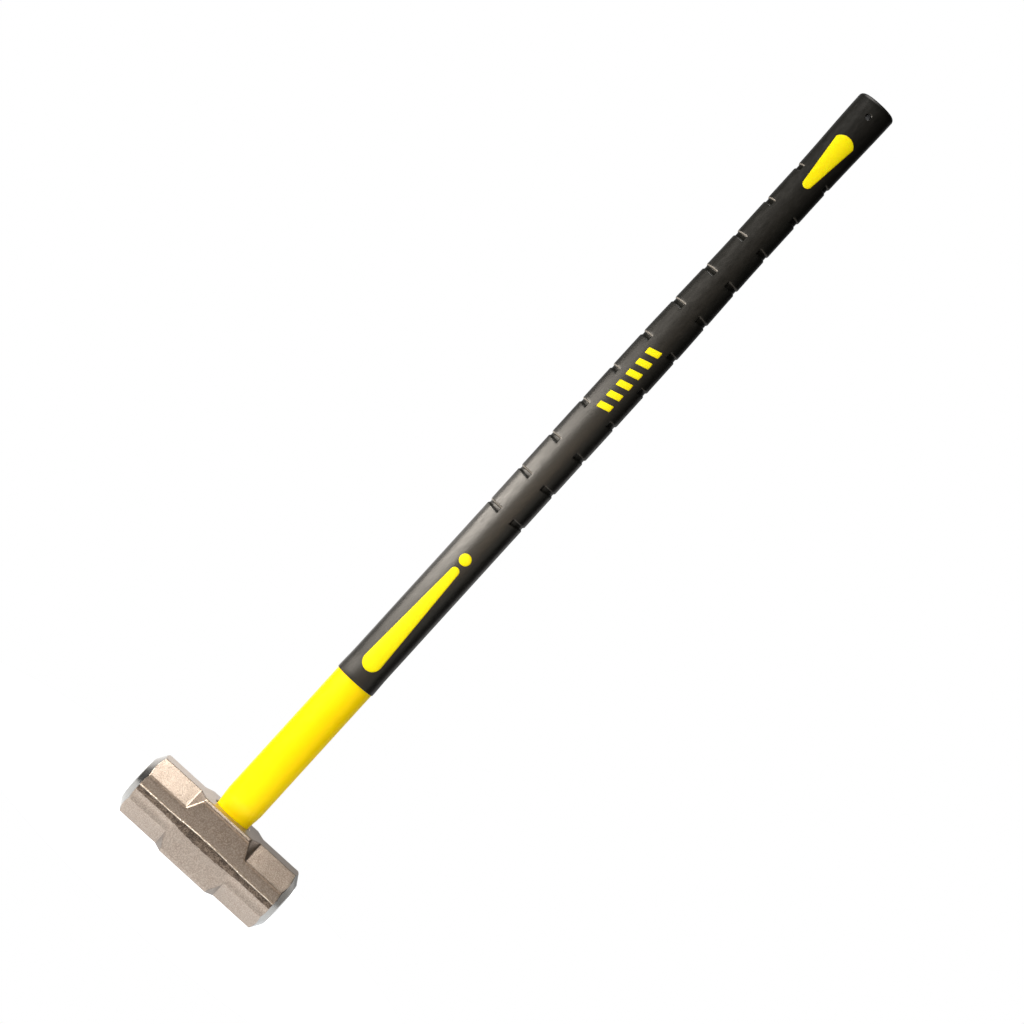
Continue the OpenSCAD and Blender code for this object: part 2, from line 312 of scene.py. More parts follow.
flat_edge = 12.7
near_edge = flat_edge - 1.5
cheek_line = joined(steps(-flat_edge, -near_edge, 0.3), steps(-near_edge, -6.5, 0.9),
                    steps(-6.5, -1.5, 0.4), steps(-1.5, 1.8, 0.55), steps(1.8, 5.0, 0.26),
                    steps(5.0, near_edge, 0.9), steps(near_edge, flat_edge, 0.3))
front = [(-cheek_half, z) for z in cheek_line]
corner_line = joined(steps(0, 0.06, 0.012), steps(0.06, 0.36, 0.06), steps(0.36, 0.64, 0.028),
                     steps(0.64, 0.94, 0.06), steps(0.94, 1, 0.012))
upper = [(-cheek_half + (cheek_half - flat_edge) * t, flat_edge + (head_mid - flat_edge) * t)
         for t in corner_line[1:-1]]
top_line = joined(steps(-flat_edge, -near_edge, 0.3), steps(-near_edge, near_edge, 1.3),
                  steps(near_edge, flat_edge, 0.3))
top = [(y, head_mid) for y in top_line]
upper_back = [(-y, z) for y, z in reversed(upper)]
around_front = front + upper + top + upper_back
around_back = [(-y, -z) for y, z in around_front]
directions = [Vector(p).normalized() for p in around_front + around_back]
print("head:", len(head_line), "stations of", len(directions), "corners")

# %% [markdown]
# ### Flash land and burr
# Where the dies met, the squeezed-out metal was trimmed off. It leaves a rough land along each
# cheek at mid height, wider at the middle, with a thin burr standing on its upper edge. A lump
# of flash is left near one end.

# %% Land and burr
land_low, land_high = -3.5, 2.5
bulge_low, bulge_high = 1.9, 1.3
land_rise = 0.26
land_zone = 9
burr_width = 0.42
flash_lump_x, flash_lump_z = -73.5, 1.6


def land_edges(x):
    """Lower and upper edge of the trimmed land, measured from mid height."""
    bulge = ease(1, 0, (abs(x) - 8) / 40)
    ragged = 0.45 * lumps(x, 0, 0, 5.5, 3.1) + 0.22 * lumps(x, 0, 0, 1.9, 8.7)
    lower = land_low - bulge_low * bulge - ragged * (0.5 + bulge)
    upper = land_high + bulge_high * bulge + 0.35 * ragged
    return lower, upper


def near_burr(z, upper):
    """1 on the burr's crest, falling to 0 beside it."""
    return math.exp(-((z - upper + 0.05) / burr_width) ** 2)


def land_height_at(x, z):
    """How far the land and its burr stand out from the cheek at this point."""
    lower, upper = land_edges(x)
    plateau = ease(0, 1, (z - lower) / 0.7 + 0.5) * ease(1, 0, (z - upper) / 0.4)
    torn = 0.10 * lumps(x, 0, z, 1.6, 5.5) + 0.08 * lumps(x, 0, z, 4.5, 1.5)
    tall = 0.32 + 0.30 * lumps(x, 0, 0, 2.4, 6.3) + 0.16 * lumps(x, 0, 0, 1.1, 2.2)
    burr = max(0.06, tall) * near_burr(z, upper)
    lump = 0.35 * math.exp(-((x - flash_lump_x) / 2.2) ** 2 - ((z - flash_lump_z) / 1.6) ** 2)
    ridge = 0.2 * math.exp(-((z - lower + 1.0) / 0.7) ** 2)
    return plateau * (land_rise + torn) + burr + lump + ridge


def head_corner(i, k):
    """Place of one corner of the head's surface."""
    kind, x, r = head_line[i]
    y_dir, z_dir = directions[k]
    if kind == "crown":
        sag = crown_radius - math.sqrt(crown_radius ** 2 - r * r)
        return (x * (head_half - sag), y_dir * r, head_mid + z_dir * r)
    forged = slice_radius(x, y_dir, z_dir)
    y, z = y_dir * forged, z_dir * forged
    swell = 0.5 + 0.5 * lumps(x, y, z, 17, 1.7)
    pebble = 0.5 + 0.5 * lumps(x, y, z, 5.5, 4.2)
    forged -= 0.12 * swell + 0.06 * pebble
    turned = turned_radius(x)
    if turned < forged:
        return (x, y_dir * turned, head_mid + z_dir * turned)
    y, z = y_dir * forged, z_dir * forged
    if abs(z) < land_zone:
        y += math.copysign(land_height_at(x, z), y)
    return (x, y, head_mid + z)


head_mesh = rolled(len(head_line), len(directions), head_corner)
print("head faces:", len(head_mesh.faces))

# %% [markdown]
# ### The eye
# The eye is pierced right through the head. Its outline is an oval of four arcs, the same as
# the neck's and the core's. A cutter with a flared mouth at each end takes the hole out and
# breaks its edge in one go.

# %% Ovals and the eye
end_arc_share = 0.76


def oval_point(half_w, half_t, angle):
    """A point on the four-arc oval, by the direction of its normal."""
    end = half_t * end_arc_share
    centre = half_w - end
    big = (centre ** 2 + half_t ** 2 - end ** 2) / (2 * (half_t - end))
    turn = math.atan2(big - half_t, centre)
    nx, ny = math.cos(angle), math.sin(angle)
    if math.atan2(abs(ny), abs(nx)) < turn:
        return math.copysign(centre, nx) + end * nx, end * ny
    return big * nx, big * ny - math.copysign(big - half_t, ny)


def oval_prism(rows, around=96):
    """A closed prism through rows of (half width, half thickness, z)."""
    def place(i, k):
        half_w, half_t, z = rows[i]
        x, y = oval_point(half_w, half_t, 2 * math.pi * (k + 0.5) / around)
        return (x, y, z)
    return rolled(len(rows), around, place)


eye_high = span("eye_resin")[1]
eye_half_l, eye_half_w = eye_high.x, eye_high.y
flare = 0.9
mouth_l, mouth_w = eye_half_l + flare, eye_half_w + flare
eye_rows = [(mouth_l + 1, mouth_w + 1, -1), (mouth_l, mouth_w, 0),
            (eye_half_l, eye_half_w, flare), (eye_half_l, eye_half_w, head_top - flare),
            (mouth_l, mouth_w, head_top), (mouth_l + 1, mouth_w + 1, head_top + 1)]
forged_head = as_piece("forged_head", head_mesh)
cut_away(forged_head, [as_piece("eye_cutter", oval_prism(eye_rows))])
crisp(forged_head, 32)
print("head after the eye:", len(forged_head.data.polygons), "faces")

# %% [markdown]
# ## The handle's outline
# Every slice of the moulded handle is an oval that is a little squarer than an ellipse. The
# neck starts deep in the eye and widens to the full handle just above the head.

# %% Handle slices
fullness = 0.92


def handle_point(half_w, half_t, angle):
    """A point on the handle's outline."""
    c, s = math.cos(angle), math.sin(angle)
    x = math.copysign(half_w * abs(c) ** fullness, c)
    y = math.copysign(half_t * abs(s) ** fullness, s)
    return x, y


grip_half_w, grip_half_t = grip_high.x, grip_high.y
butt_round = 4
slim_z, waist_z, flare_z, round_z = butt - 314, butt - 164, butt - 94, butt - butt_round
waist_half_w = grip_half_w - 1.95
butt_half_w = grip_half_w - 0.55
rubber_wall = 2.4
under_grip_w = waist_half_w - rubber_wall
under_grip_t = grip_half_t * waist_half_w / grip_half_w - rubber_wall


def grip_size(z):
    """Half width and half thickness of the grip at z: full, then slim, then flared."""
    if z < flare_z:
        half_w = ease(grip_half_w, waist_half_w, (z - slim_z) / (waist_z - slim_z))
    else:
        half_w = ease(waist_half_w, butt_half_w, (z - flare_z) / (round_z - flare_z))
    return half_w, half_w * grip_half_t / grip_half_w


print("grip", round(2 * grip_half_w, 1), "wide, waist", round(2 * waist_half_w, 1))

# %% [markdown]
# ## The jacket
# The yellow plastic is moulded over the fibreglass rod. The part that shows is a smooth oval
# tube, so a rolled grid with closely spaced stations at the neck is enough. Under the grip it
# steps in by the thickness of the rubber, and the rod's hole is cut out of it.

# %% Jacket
eye_gap = 1.7
neck_half_w, neck_half_t = eye_half_l - eye_gap, eye_half_w - eye_gap
neck_top, neck_widens = head_top + 18, head_top - 3
around_handle = 144


def jacket_rows():
    """Rows of (half width, half thickness, z, under the grip or not)."""
    rows = []
    for z in joined(steps(jacket_low.z, neck_widens, 2), steps(neck_widens, neck_top, 0.9),
                    steps(neck_top, grip_start, 4)):
        t = (z - neck_widens) / (neck_top - neck_widens)
        half_w = ease(neck_half_w, handle_half_w, t)
        half_t = ease(neck_half_t, handle_half_t, t)
        rows.append((half_w, half_t, z, False))
    for z in steps(grip_start, jacket_high.z, 12):
        rows.append((under_grip_w, under_grip_t, z, True))
    return rows


jacket_line = jacket_rows()


def jacket_corner(i, k):
    """Place of one corner of the jacket's surface."""
    half_w, half_t, z, under = jacket_line[i]
    angle = 2 * math.pi * (k + 0.5) / around_handle
    x, y = (oval_point if under else handle_point)(half_w, half_t, angle)
    return (x, y, z)


jacket = as_piece("yellow_jacket", rolled(len(jacket_line), around_handle, jacket_corner))
core_hole = [(core_high.x, core_high.y, z) for z in (jacket_low.z - 1, core_high.z)]
cut_away(jacket, [as_piece("rod_hole", oval_prism(core_hole))])
crisp(jacket, 40)
print("jacket faces:", len(jacket.data.polygons))

# %% [markdown]
# ## The grip
# The black rubber is moulded over the jacket, and its lip flares a little where it starts. The
# notches are pressed into the rolled grid: stations sit close together at each notch's walls, so
# the walls stay sharp. The notches wrap round both edges, and their inner ends follow a slow wave
# along the handle.

# %% Notches
notch_first, notch_last, notch_total = grip_start + 198, butt - 89, 11
notch_pitch = (notch_last - notch_first) / (notch_total - 1)
notch_heights = [notch_first + n * notch_pitch for n in range(notch_total)]
notch_half, notch_depth = 3.0, 1.15
ramp, drop, chamfer, chamfer_share = 1.7, 0.5, 1.0, 0.4
reach_middle, reach_swing, reach_wave = 10.4, 3.0, 6.6


def notch_reach(n):
    """Distance from the centre line to the inner ends of notch n."""
    return reach_middle - reach_swing * math.cos(2 * math.pi * (n - 0.4) / reach_wave)


def notch_share(x, z):
    """How much of a notch's full depth there is at this point, from 0 to 1.

    The wall towards the head is a slow ramp that leans with the edge. The wall towards the
    butt drops steeply and has a chamfer that catches the light.
    """
    n = round((z - notch_first) / notch_pitch)
    if not 0 <= n < notch_total:
        return 0
    reach = notch_reach(n)
    along = z - notch_heights[n]
    outward = min(max((abs(x) - reach) / (grip_half_w - reach), 0), 1)
    ramp_start = -notch_half - 0.4 + (2.3 - 0.17 * n) * outward
    if along < notch_half - drop:
        depth = ease(0, 1, (along - ramp_start) / ramp)
    elif along < notch_half:
        depth = 1 + (chamfer_share - 1) * (along - notch_half + drop) / drop
    else:
        depth = chamfer_share * max(0, 1 - (along - notch_half) / chamfer)
    return depth * ease(0, 1, (abs(x) - reach) / 1.1 + 0.5)


print("notches:", notch_total, "with a pitch of", round(notch_pitch, 1))

# %% [markdown]
# ### Stations along the grip
# The grip starts with a small rounded edge and ends in a rounded butt with a slight dome. Each
# station is one of four kinds: the edge, the side, the round of the butt or its cap.

# %% Grip stations
grip_edge = 0.7
dome = 0.7
hair = 0.02
drop_start = notch_half - drop
wall_steps = joined(steps(-3.5, 0.7, 0.38), steps(0.7, drop_start - hair, 0.9))
wall_steps += [drop_start + hair, notch_half - hair, notch_half + hair, notch_half + chamfer / 2,
               notch_half + chamfer - 0.05, notch_half + chamfer + 0.05]
grip_heights = steps(grip_start + grip_edge, notch_heights[0] - 5, 4)
for z in notch_heights:
    grip_heights += [z + step for step in wall_steps]
    if z < notch_heights[-1] - 1:
        grip_heights += steps(z + 6, z + notch_pitch - 6, 4.5)
grip_heights += steps(notch_heights[-1] + 6, round_z - dome, 4)

edge_turns = [math.radians(a) for a in (0, 22, 45, 68)]
grip_line = [("edge", grip_start + grip_edge * (1 - math.sin(a)), grip_edge * (1 - math.cos(a)))
             for a in reversed(edge_turns)]
grip_line = [("edge", grip_start, grip_edge)] + grip_line[:-1]
grip_line += [("side", z, 0) for z in grip_heights]
butt_turns = [math.radians(a) for a in range(9, 91, 9)]
grip_line += [("butt", round_z - dome + butt_round * math.sin(a), butt_round * (1 - math.cos(a)))
              for a in butt_turns]
grip_line += [("cap", 0, share) for share in (0.93, 0.82, 0.68, 0.5, 0.32, 0.15, 0.03)]

# %% Grip skin
lip_flare, lip_length = 0.5, 22


def grip_corner(i, k):
    """Place of one corner of the grip's surface."""
    kind, z, inset = grip_line[i]
    angle = 2 * math.pi * (k + 0.5) / around_handle
    if kind == "cap":
        half_w, half_t = grip_size(round_z)
        x, y = handle_point((half_w - butt_round) * inset, (half_t - butt_round) * inset, angle)
        return (x, y, butt - dome * inset ** 2)
    half_w, half_t = grip_size(z)
    x, y = handle_point(half_w, half_t, angle)
    lip = ease(lip_flare, 0, (z - grip_start) / lip_length)
    press = inset - lip
    if kind == "side":
        settle = 0.5 + 0.5 * lumps(x, y, z / 2.5, 14, 9.2)
        press = notch_share(x, z) * notch_depth + 0.10 * settle - lip
    x, y = handle_point(half_w - press, half_t - press, angle)
    return (x, y, z)


grip_mesh = rolled(len(grip_line), around_handle, grip_corner)
print("grip:", len(grip_line), "stations,", len(grip_mesh.faces), "faces")

# %% [markdown]
# ### Outlines of the yellow shapes
# The long drop, the dot, the butt drop and the slanted bars are drawn once each as a closed
# outline, which can be grown by a clearance. The same outline then cuts the window in the
# rubber and shapes the inlay, so the two always match.

# %% Outlines
def drop_outline(z0, z1, w0, w1, grow, count=80):
    """A drop with a round end of width w0 at z0 and of width w1 at z1."""
    r0, r1 = w0 / 2, w1 / 2
    c0, c1 = z0 + r0, z1 - r1
    lean = math.asin((r0 - r1) / (c1 - c0)) if c1 - c0 > 0.01 else 0
    line = []
    for n in range(count):
        a = 2 * math.pi * (n + 0.5) / count
        nx, nz = math.cos(a), math.sin(a)
        r, c = (r1, c1) if nz > math.sin(lean) else (r0, c0)
        line.append(((r + grow) * nx, c + (r + grow) * nz))
    return line


def butt_drop_outline(grow, count=120):
    """A round narrow end, straight flanks, two small corners and one shallow arc."""
    end, length = butt - 41.8, 59
    r, half, arc, corner = 4.4, 9.7, 11.6, 1.0
    c0, arc_c = end - length + r, end - arc
    z_corner = arc_c + math.sqrt(arc ** 2 - half ** 2)
    flank = -math.atan2(half - r, z_corner - c0)
    arc_edge = math.atan2(z_corner - arc_c, half)
    line = []
    for n in range(count):
        a = 2 * math.pi * (n + 0.5) / count
        nx, nz = math.cos(a), math.sin(a)
        tilt = math.asin(nz)
        if tilt < flank:
            line.append(((r + grow) * nx, c0 + (r + grow) * nz))
        elif tilt > arc_edge + 0.03:
            line.append(((arc + grow) * nx, arc_c + (arc + grow) * nz))
        else:
            cx = math.copysign(half - corner * 0.9, nx)
            cz = z_corner - corner * 0.55
            line.append((cx + (corner + grow) * nx, cz + (corner + grow) * nz))
    return line


def bar_outline(middle, grow):
    """A slanted bar with small round corners."""
    half_h, half_w, slant, r = 6.2, 3.2, 1.8, 0.7
    line = []
    for sx, sz, start in ((1, 1, 0), (-1, 1, 90), (-1, -1, 180), (1, -1, 270)):
        cx = sx * (half_h - r)
        cz = middle + sz * (half_w - r) + slant * cx / half_h
        for a in (0, 22.5, 45, 67.5, 90):
            t = math.radians(start + a)
            line.append((cx + (r + grow) * math.cos(t), cz + (r + grow) * math.sin(t)))
    return line


long_start, long_length, long_wide, long_slim = grip_start + 15, 121, 18.5, 8.4
dot_width, dot_gap = 11.3, 4
dot_start = long_start + long_length + dot_gap
mark_middle, bar_pitch, bar_count = butt - 330, 12.7, 6
first_bar = mark_middle - bar_pitch * (bar_count - 1) / 2


def yellow_outlines(kind, grow=0.0):
    """The closed outlines of one kind of yellow shape."""
    if kind == "long_inlay":
        return [drop_outline(long_start, long_start + long_length, long_wide, long_slim, grow)]
    if kind == "dot_inlay":
        return [drop_outline(dot_start, dot_start + dot_width, dot_width, dot_width, grow, 64)]
    if kind == "butt_inlay":
        return [butt_drop_outline(grow)]
    return [bar_outline(first_bar + n * bar_pitch, grow) for n in range(bar_count)]


kinds = ("long_inlay", "dot_inlay", "butt_inlay", "mark_bars")
print("outlines:", {kind: len(yellow_outlines(kind)) for kind in kinds})

# %% [markdown]
# ### Windows and the hanging hole
# Each window goes right through the rubber, front and back, down to the jacket. The hanging
# hole is drilled with a small dish at each mouth. The jacket's space is cut out last.

# %% Cutters


def flat_prism(outline, y0, y1):
    """An outline in the X-Z plane, as a closed prism from y0 to y1."""
    bm = bmesh.new()
    bmesh.ops.create_circle(bm, cap_ends=True, segments=len(outline), radius=1)
    bm.verts.ensure_lookup_table()
    for v, (x, z) in zip(bm.verts, outline):
        v.co = Vector((x, y0, z)) * MM
    pushed = bmesh.ops.extrude_face_region(bm, geom=list(bm.faces))["geom"]
    moved = [v for v in pushed if isinstance(v, bmesh.types.BMVert)]
    bmesh.ops.translate(bm, verts=moved, vec=Vector((0, y1 - y0, 0)) * MM)
    bmesh.ops.recalc_face_normals(bm, faces=bm.faces)
    return bm


def turned_about_y(rows, z_axis, around=48):
    """A closed turned shape about a line along Y, through rows of (radius, y)."""
    def place(i, k):
        r, y = rows[i]
        a = 2 * math.pi * k / around
        return (r * math.cos(a), y, z_axis + r * math.sin(a))
    return rolled(len(rows), around, place)


hole_z = butt - 17
hole_radius = 2.6
mouth_y = grip_size(hole_z)[1]
mouth = [(hole_radius + 3, 1.4), (hole_radius + 0.5, -0.1), (hole_radius, -0.7)]
hole_rows = [(r, -mouth_y - out) for r, out in mouth]
hole_rows += [(r, mouth_y + out) for r, out in reversed(mouth)]
window_gap = 0.15
cutters = [as_piece("window", flat_prism(outline, -30, 30))
           for kind in kinds for outline in yellow_outlines(kind, window_gap)]
cutters.append(as_piece("hang_hole", turned_about_y(hole_rows, hole_z)))
cutters.append(as_piece("jacket_space", oval_prism(
    [(under_grip_w, under_grip_t, z) for z in (grip_start - 1, jacket_high.z)])))
grip = as_piece("rubber_grip", grip_mesh)
cut_away(grip, cutters)
crisp(grip, 38)
print("grip after cutting:", len(grip.data.polygons), "faces")

# %% [markdown]
# ### Dull floors and painted highlights on the chamfers
# Hands polish the grip's skin but never reach the floors of the notches or the rim of the butt,
# which stay dull. A highlight is painted pale on the chamfers, full on the -X side and weaker on
# the other. Each corner of the mesh stores how dull it is and how much highlight is painted there,
# for the rubber's finish to read.

# %% Store dull places and painted chamfer highlights
highlight_other_side = 0.3
dull, painted_chamfer_highlight = [], []
for v in grip.data.vertices:
    x, z = v.co.x / MM, v.co.z / MM
    n = min(max(round((z - notch_first) / notch_pitch), 0), notch_total - 1)
    along = z - notch_heights[n]
    pressed = notch_share(x, z)
    fading = ease(1, 0.3 + 0.05 * n, (along + 1.2) / 2.5) * (1 if x < 0 else 0.6)
    floor_share = ease(0, 1, (pressed - 0.01) / 0.12) * fading
    butt_share = ease(0, 0.8, (z - butt + 6) / 3)
    dull.append(max(floor_share, butt_share))
    # Painted highlight on the chamfers: full on the -X side, weaker on the other.
    on_chamfer = notch_half - 0.1 < along < notch_half + chamfer - 0.1
    chamfer_highlight = (1 if x < 0 else highlight_other_side) if on_chamfer else 0
    painted_chamfer_highlight.append(chamfer_highlight * ease(0, 1, abs(x) - notch_reach(n) + 1))
store(grip.data, "dull", dull)
store(grip.data, "painted_chamfer_highlight", painted_chamfer_highlight)
print("scuffed corners:", sum(1 for share in painted_chamfer_highlight if share > 0))

# %% [markdown]
# ## The yellow inlays
# Each inlay starts as its flat outline. Cuts every few millimetres let it bend, then its front
# is laid on the handle's curve a hair proud of the rubber, its back on the jacket, and the rim
# is given a small round edge.

# %% Inlays
inlay_proud = 0.14
inlay_edge = 0.4


def grip_surface_y(x, z, proud):
    """Distance from the handle's middle plane to the grip's surface at x, z."""
    half_w, half_t = grip_size(z)
    share = min(abs(x) / (half_w + proud), 1) ** (1 / fullness)
    return (half_t + proud) * (1 - share ** 2) ** (fullness / 2)


def jacket_surface_y(x):
    """Distance from the middle plane to the jacket under the grip."""
    low, high = 0.0, math.pi / 2
    for _ in range(24):
        middle = (low + high) / 2
        if oval_point(under_grip_w, under_grip_t, middle)[0] > abs(x):
            low = middle
        else:
            high = middle
    return oval_point(under_grip_w, under_grip_t, low)[1]


def inlay_piece(name, kind, side):
    """All the yellow solids of one kind on one side of the handle; side is -1 or 1."""
    whole = bmesh.new()
    for outline in yellow_outlines(kind):
        bm = bmesh.new()
        bmesh.ops.create_circle(bm, cap_ends=True, segments=len(outline), radius=1)
        bm.verts.ensure_lookup_table()
        for v, (x, z) in zip(bm.verts, outline):
            v.co = (x, 0, z)
        lows, highs = min(z for _, z in outline), max(z for _, z in outline)
        cuts = [((x, 0, 0), (1, 0, 0)) for x in steps(-9, 9, 1.5)]
        cuts += [((0, 0, z), (0, 0, 1)) for z in steps(lows, highs, 5)[1:-1]]
        for place, way in cuts:
            bmesh.ops.bisect_plane(bm, geom=bm.verts[:] + bm.edges[:] + bm.faces[:], dist=1e-4,
                                   plane_co=place, plane_no=way)
        fronts = list(bm.faces)
        pushed = bmesh.ops.extrude_face_region(bm, geom=fronts)["geom"]
        outer = {v for v in pushed if isinstance(v, bmesh.types.BMVert)}
        for v in bm.verts:
            x, z = v.co.x, v.co.z
            y = grip_surface_y(x, z, inlay_proud) if v in outer else jacket_surface_y(x)
            v.co.y = side * y
        bmesh.ops.recalc_face_normals(bm, faces=bm.faces)
        rim = [e for e in bm.edges if e.verts[0] in outer and e.verts[1] in outer
               and e.calc_face_angle(0) > math.radians(50)]
        bmesh.ops.bevel(bm, geom=rim, offset=inlay_edge, segments=3, profile=0.5,
                        affect="EDGES", material=-1)
        bmesh.ops.scale(bm, vec=(MM, MM, MM), verts=bm.verts)
        part = bpy.data.meshes.new("part")
        bm.to_mesh(part)
        bm.free()
        whole.from_mesh(part)
        bpy.data.meshes.remove(part)
    piece = as_piece(name, whole)
    crisp(piece, 60)
    return piece


inlays = []
for kind in kinds:
    for side, place in ((-1, "front"), (1, "back")):
        node_name = kind + "_" + place
        inlays.append((inlay_piece("yellow_" + node_name, kind, side), node_name))
print("inlays:", [piece.name for piece, _ in inlays])

# %% [markdown]
# ## Finishes
# Every finish is one Principled shader fed by procedural patterns on Object coordinates, so
# nothing slides when the hammer is turned or exported. A few helpers keep the cells short.

# %% Helpers for finishes


def new_finish(name, settings):
    """A material with its shader's plain settings."""
    finish = bpy.data.materials.new(name)
    finish.use_nodes = True
    shader = finish.node_tree.nodes["Principled BSDF"]
    for socket, value in settings.items():
        shader.inputs[socket].default_value = value
    return finish, shader


def add(finish, kind, inputs=None, **choices):
    """A node; an input is either a number or another node's output."""
    node = finish.node_tree.nodes.new(kind)
    for choice, value in choices.items():
        setattr(node, choice, value)
    for socket, value in (inputs or {}).items():
        target = node.inputs[socket]
        if isinstance(value, bpy.types.NodeSocket):
            finish.node_tree.links.new(value, target)
        else:
            target.default_value = value
    return node


def join(finish, output, target):
    """A link from a node's output to a socket."""
    finish.node_tree.links.new(output, target)


def object_place(finish):
    """The surface point in the hammer's own frame."""
    return add(finish, "ShaderNodeTexCoord").outputs["Object"]


def stored(finish, name):
    """Numbers that the mesh keeps at its corners."""
    return add(finish, "ShaderNodeAttribute", attribute_name=name).outputs["Fac"]


def grain(finish, place, size, detail=3.0, rough=0.5, stretch=None):
    """Noise with lumps of about the size, in mm; stretch squeezes or draws it out."""
    if stretch:
        place = add(finish, "ShaderNodeMapping", {"Vector": place, "Scale": stretch}).outputs[0]
    made = add(finish, "ShaderNodeTexNoise", {
        "Vector": place, "Scale": 1 / (size * MM), "Detail": detail, "Roughness": rough})
    return made.outputs["Fac"]


def levels(finish, value, low, high, to_low=0.0, to_high=1.0, smooth=False):
    """Maps low..high of a pattern to new levels, and holds it there outside."""
    made = add(finish, "ShaderNodeMapRange", {
        "Value": value, "From Min": low, "From Max": high, "To Min": to_low, "To Max": to_high},
        interpolation_type="SMOOTHSTEP" if smooth else "LINEAR")
    return made.outputs[0]


def between(finish, share, first, second, blend="MIX"):
    """A colour between two, by a share; blend can also darken by multiplying."""
    made = add(finish, "ShaderNodeMix", {0: share, 6: first, 7: second},
               data_type="RGBA", blend_type=blend)
    return made.outputs[2]


def times(finish, first, second):
    """The product of two numbers."""
    return add(finish, "ShaderNodeMath", {0: first, 1: second}, operation="MULTIPLY").outputs[0]


def relief(finish, height, depth, under=None, strength=1.0):
    """Bump from a height pattern; depth in mm is the height of a full step."""
    inputs = {"Height": height, "Distance": depth * MM, "Strength": strength}
    if under is not None:
        inputs["Normal"] = under
    return add(finish, "ShaderNodeBump", inputs).outputs[0]


def plain(r, g, b):
    """A colour given as it looks on a screen, 0 to 255, turned into light."""
    def light(c):
        c /= 255
        return c / 12.92 if c <= 0.04045 else ((c + 0.055) / 1.055) ** 2.4
    return (light(r), light(g), light(b), 1)


def dress(piece, finish):
    """Gives the piece one finish in place of any that it has."""
    piece.data.materials.clear()
    piece.data.materials.append(finish)


# %% [markdown]
# ### Marks on the head's surface
# The paint stops where the lathe cut and it lies thin and dark over the torn land. A highlight is
# painted along the burr, and shade is painted on the lower slopes of the shoulders and along the
# corners of the cheeks. The modelling already knows where these places are, so each corner of the
# mesh stores them as named numbers that the finish can read.

# %% Painted shade places
boss_painted_shade, corner_painted_shade, upper_painted_shade = 0.45, 0.65, 0.35


def painted_shade_at(x, y, z):
    """How much shade is painted on the head at a point measured from its middle, from 0 to 1."""
    flat = diagonal_flat(x)
    inside = flat / math.sqrt(0.5) - abs(y) - abs(z)
    on_cheek = ease(0, 1, (inside - 0.3) / 0.4) if abs(y) > cheek_half - 4 else 0
    if z > 0:
        return upper_painted_shade * on_cheek * ease(1, 0, (inside - 2) / 1.5)
    if octagon_flat + 0.5 < flat < boss_flat - 0.5 and inside * math.sqrt(0.5) < 0.6:
        return 1
    on_boss = ease(0, 1, (flat - octagon_flat - 1) / 4)
    near_corner = ease(1, 0, (inside - 2.5) / 5)
    return on_cheek * (boss_painted_shade * on_boss + corner_painted_shade * near_corner * (1 - on_boss))


# %% Store bare steel, land, burr and painted shade
skin_depth = 0.06
bare, land, burr_line, painted_shade = [], [], [], []
for v in forged_head.data.vertices:
    x, y, z = v.co / MM
    z -= head_mid
    turned = abs(x) >= disc_x or turned_radius(x) - math.hypot(y, z) < skin_depth
    bare.append(1.0 if turned and abs(x) > corner_x - 0.5 else 0.0)
    lower, upper = land_edges(x)
    cheek = 1 if abs(y) > cheek_half - 6 else 0
    land.append(cheek * ease(0, 1, (z - lower) / 0.8) * ease(1, 0, (z - upper + 0.3) / 0.4))
    burr_line.append(cheek * near_burr(z, upper))
    painted_shade.append(painted_shade_at(x, y, z))
marks_here = {"bare_steel": bare, "flash_land": land, "burr": burr_line, "painted_shade": painted_shade}
for name, shares in marks_here.items():
    store(forged_head.data, name, shares)
print("corners on bare steel:", int(sum(bare)))

# %% [markdown]
# ### Champagne paint over forging scale, and turned steel
# The paint holds metal flake, so it is mostly metallic and rather rough. Large soft patches and
# fine speckle vary its colour. The relief has three scales: hammered unevenness, scale pits and
# a fine sandy grain. Where the corner is bare, the same shader turns to bright steel with fine
# rings around the head's axis.

# %% Head finish
paint, shader = new_finish("champagne_forging", {"Specular IOR Level": 0.5})
place = object_place(paint)
patches = grain(paint, place, 26, 3, 0.55)
mottle = grain(paint, place, 5.5, 4, 0.6)
speckle = grain(paint, place, 1.2, 2, 0.6)
bare_here, land_here = stored(paint, "bare_steel"), stored(paint, "flash_land")
burr_here, painted_shade_here = stored(paint, "burr"), stored(paint, "painted_shade")

tone = levels(paint, patches, 0.35, 0.65)
tone = between(paint, tone, plain(154, 141, 130), plain(160, 147, 136))
tone = between(paint, levels(paint, mottle, 0.42, 0.72, 0, 0.4), tone, plain(140, 120, 108))
tone = between(paint, levels(paint, speckle, 0.42, 0.62, 0, 0.75), tone, plain(188, 175, 162))
# Painted shade: darker paint on the lower shoulder slopes and along the corners of the cheeks.
tone = between(paint, painted_shade_here, tone, plain(206, 206, 206), "MULTIPLY")

torn = between(paint, levels(paint, speckle, 0.4, 0.62), plain(62, 49, 39), plain(118, 102, 88))
torn = between(paint, levels(paint, mottle, 0.48, 0.6, 0, 0.7), torn, plain(40, 31, 24))
tone = between(paint, times(paint, land_here, 0.85), tone, torn)
# Painted highlight: the burr's crest is painted near white where it catches the light.
burr_highlight = levels(paint, mottle, 0.36, 0.56, 0.45, 1.0)
tone = between(paint, times(paint, burr_here, burr_highlight), tone, plain(236, 224, 208))

steel = levels(paint, patches, 0.3, 0.7)
steel = between(paint, steel, plain(148, 147, 144), plain(164, 162, 159))
join(paint, between(paint, bare_here, tone, steel), shader.inputs["Base Color"])
join(paint, levels(paint, bare_here, 0, 1, 0.92, 1.0), shader.inputs["Metallic"])
flake = levels(paint, speckle, 0.3, 0.7, 0.30, 0.38)
polish = add(paint, "ShaderNodeMix", {0: bare_here, 2: flake, 3: 0.24}, data_type="FLOAT")
join(paint, polish.outputs[0], shader.inputs["Roughness"])

